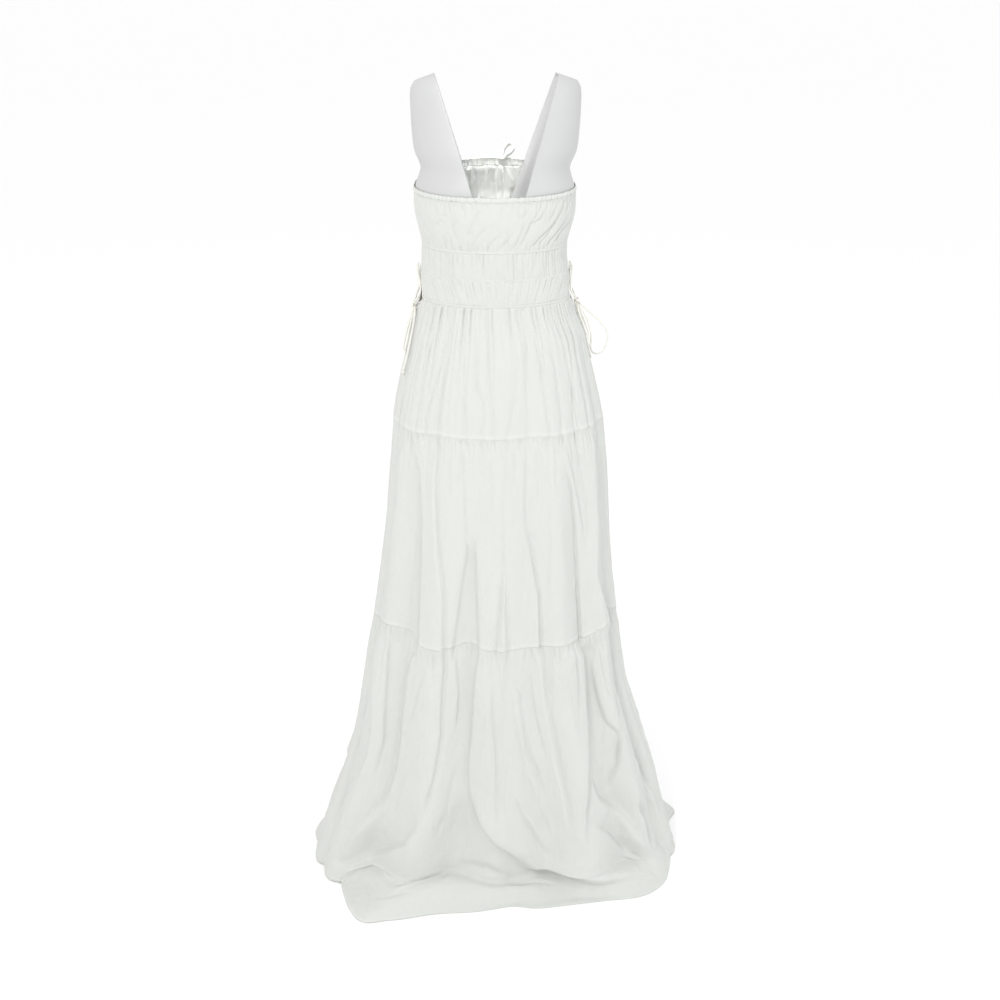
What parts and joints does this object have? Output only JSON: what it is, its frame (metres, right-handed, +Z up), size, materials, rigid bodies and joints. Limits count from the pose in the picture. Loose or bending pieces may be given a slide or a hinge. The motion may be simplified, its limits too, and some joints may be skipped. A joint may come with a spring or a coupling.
{
  "type": "maxi dress on a limbless dress form with a stand",
  "caption": "Strapless maxi dress with gathered bodice, waist bands, laced side openings and a tiered gathered skirt with a short train, on a limbless dress form and round stand.",
  "frame": {"origin": "middle of the underside of the stand's round base, on the floor", "axes": "+Z up; the back of the dress faces -Y, its front +Y; +X is the wearer's right side"},
  "size_m": [0.7446, 0.4915, 1.4933],
  "materials": {
    "white_cotton": "thin crinkled off-white cotton voile, matt",
    "cream_cord": "thin round cream cord and edge binding, matt",
    "form_shell": "smooth pale grey shell, satin",
    "stand_metal": "brushed steel base and pole"
  },
  "bodies": {
    "root": {"back_band_lower": "white_cotton", "back_band_upper": "white_cotton", "back_bodice": "white_cotton", "back_casing": "white_cotton", "binding_left": "cream_cord", "binding_right": "cream_cord", "bow_back_left": "cream_cord", "bow_back_right": "cream_cord", "bow_front_left": "cream_cord", "bow_front_right": "cream_cord", "form_torso": "form_shell", "front_band_lower": "white_cotton", "front_band_upper": "white_cotton", "front_bodice": "white_cotton", "front_casing": "white_cotton", "knot_left": "cream_cord", "knot_right": "cream_cord", "lace_back_left": "cream_cord", "lace_back_right": "cream_cord", "lace_front_left": "cream_cord", "lace_front_right": "cream_cord", "neck_loop": "white_cotton", "skirt_tier_1_back": "white_cotton", "skirt_tier_1_front": "white_cotton", "skirt_tier_2_back": "white_cotton", "skirt_tier_2_front": "white_cotton", "skirt_tier_3_back": "white_cotton", "skirt_tier_3_front": "white_cotton", "stand_base": "stand_metal", "stand_pole": "stand_metal", "tail_knot_left": "cream_cord", "tail_knot_right": "cream_cord", "tail_left": "cream_cord", "tail_right": "cream_cord"}
  },
  "joints": []
}
